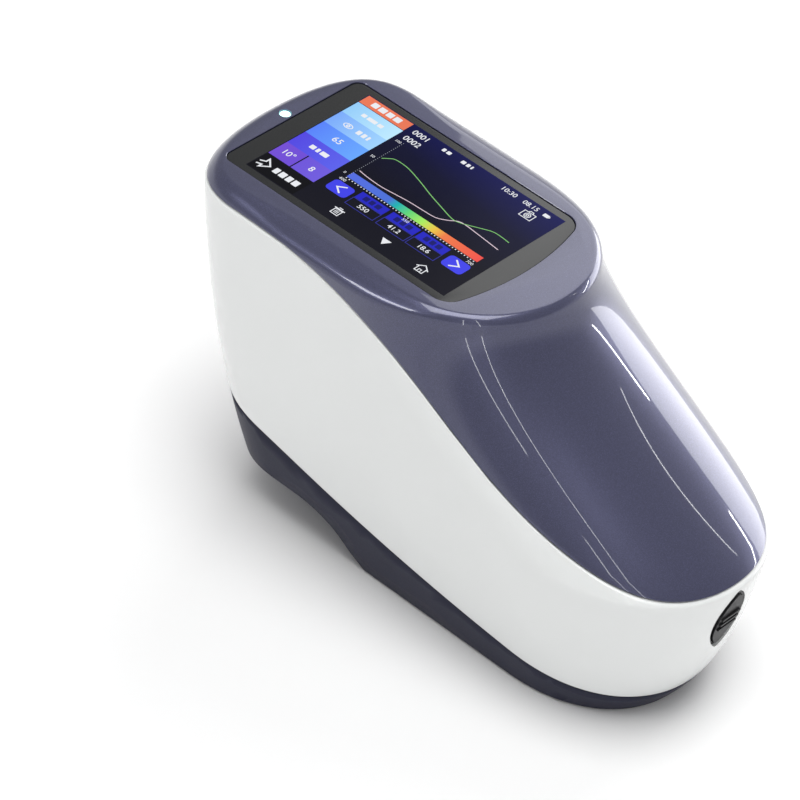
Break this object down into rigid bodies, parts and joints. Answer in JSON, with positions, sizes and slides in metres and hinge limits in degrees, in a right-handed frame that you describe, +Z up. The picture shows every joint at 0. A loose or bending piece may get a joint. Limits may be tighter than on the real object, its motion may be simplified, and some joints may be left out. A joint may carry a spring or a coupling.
{
  "type": "portable color spectrophotometer",
  "caption": "Hand-held color measuring instrument with a tilted wedge body, flat touch display at the tall end, measure button on the nose and measuring port below.",
  "frame": {"origin": "middle of the outer box in plan, at the level that the rubber feet and the port ring rest on", "axes": "+X from the tall display end towards the low nose with the measure button, +Y towards the side with the sockets, +Z up"},
  "size_m": [0.1844, 0.077, 0.105],
  "materials": {
    "cover_paint": "metallic lacquer, semi-gloss",
    "shell_white": "white, gloss",
    "base_dark": "dark grey-blue, fine satin",
    "button_black": "black, satin",
    "display_glass": "back-printed cover glass, polished",
    "display_panel": "lit display panel",
    "light_sheet": "white diffuser",
    "gasket_foam": "black foam tape",
    "feet_rubber": "soft, matte",
    "light_pipe": "clear, lit",
    "bracket_steel": "stamped sheet",
    "screw_steel": "zinc plated",
    "board_green": "solder mask",
    "flex_amber": "ribbon cable film",
    "chip_black": "moulded package",
    "battery_blue": "shrink wrap",
    "sphere_white": "diffuse white",
    "optics_metal": "black anodised",
    "lens_glass": "clear, coated",
    "mirror_coat": "polished"
  },
  "bodies": {
    "root": {"backlight": "light_sheet", "base_tray": "base_dark", "battery_door": "base_dark", "battery_pack": "battery_blue", "board_screws": "screw_steel", "button_bezel": "button_black", "button_board": "board_green", "button_screws": "screw_steel", "button_switch": "button_black", "buzzer": "button_black", "camera_module": "button_black", "case_screws": "screw_steel", "charge_socket": "button_black", "connector_board": "board_green", "connector_panel": "button_black", "data_socket": "bracket_steel", "diffraction_grating": "mirror_coat", "display_bracket": "bracket_steel", "display_flex": "flex_amber", "display_gasket": "gasket_foam", "display_glass": "display_glass", "display_screws": "screw_steel", "door_screws": "screw_steel", "flex_connector": "chip_black", "folding_mirror": "mirror_coat", "housing_screws": "screw_steel", "lamp": "lens_glass", "lamp_board": "board_green", "lamp_holder": "button_black", "lcd_panel": "display_panel", "lens_barrel": "button_black", "lid_screws": "screw_steel", "main_board": "board_green", "optics_bracket": "optics_metal", "optics_screws": "screw_steel", "processor": "chip_black", "receiving_lens": "lens_glass", "rubber_feet": "feet_rubber", "sensor_array": "chip_black", "sensor_board": "board_green", "shield_can": "bracket_steel", "side_shell": "shell_white", "slit_plate": "optics_metal", "spectrometer_housing": "optics_metal", "spectrometer_lid": "optics_metal", "sphere_lower": "sphere_white", "sphere_upper": "sphere_white", "status_led_board": "board_green", "status_light_pipe": "light_pipe", "switch_body": "button_black", "top_cover": "cover_paint"},
    "button": {"measure_button": "button_black"},
    "slider": {"power_slider": "button_black"},
    "port_ring": {"aperture_ring": "button_black"}
  },
  "joints": [
    {"name": "measure_press", "type": "slide", "parent": "root", "child": "button", "axis": [-0.9781, 0, 0.2079], "range_m": [0, 0.001], "stiffness_N_per_m": 900, "springref_m": -0.0012},
    {"name": "power_slide", "type": "slide", "parent": "root", "child": "slider", "axis": [1, 0, 0], "range_m": [0, 0.003]},
    {"name": "port_ring_turn", "type": "hinge", "parent": "root", "child": "port_ring", "pos_m": [-0.046, 0, 0], "axis": [0, 0, 1], "range_deg": [0, 25]}
  ]
}
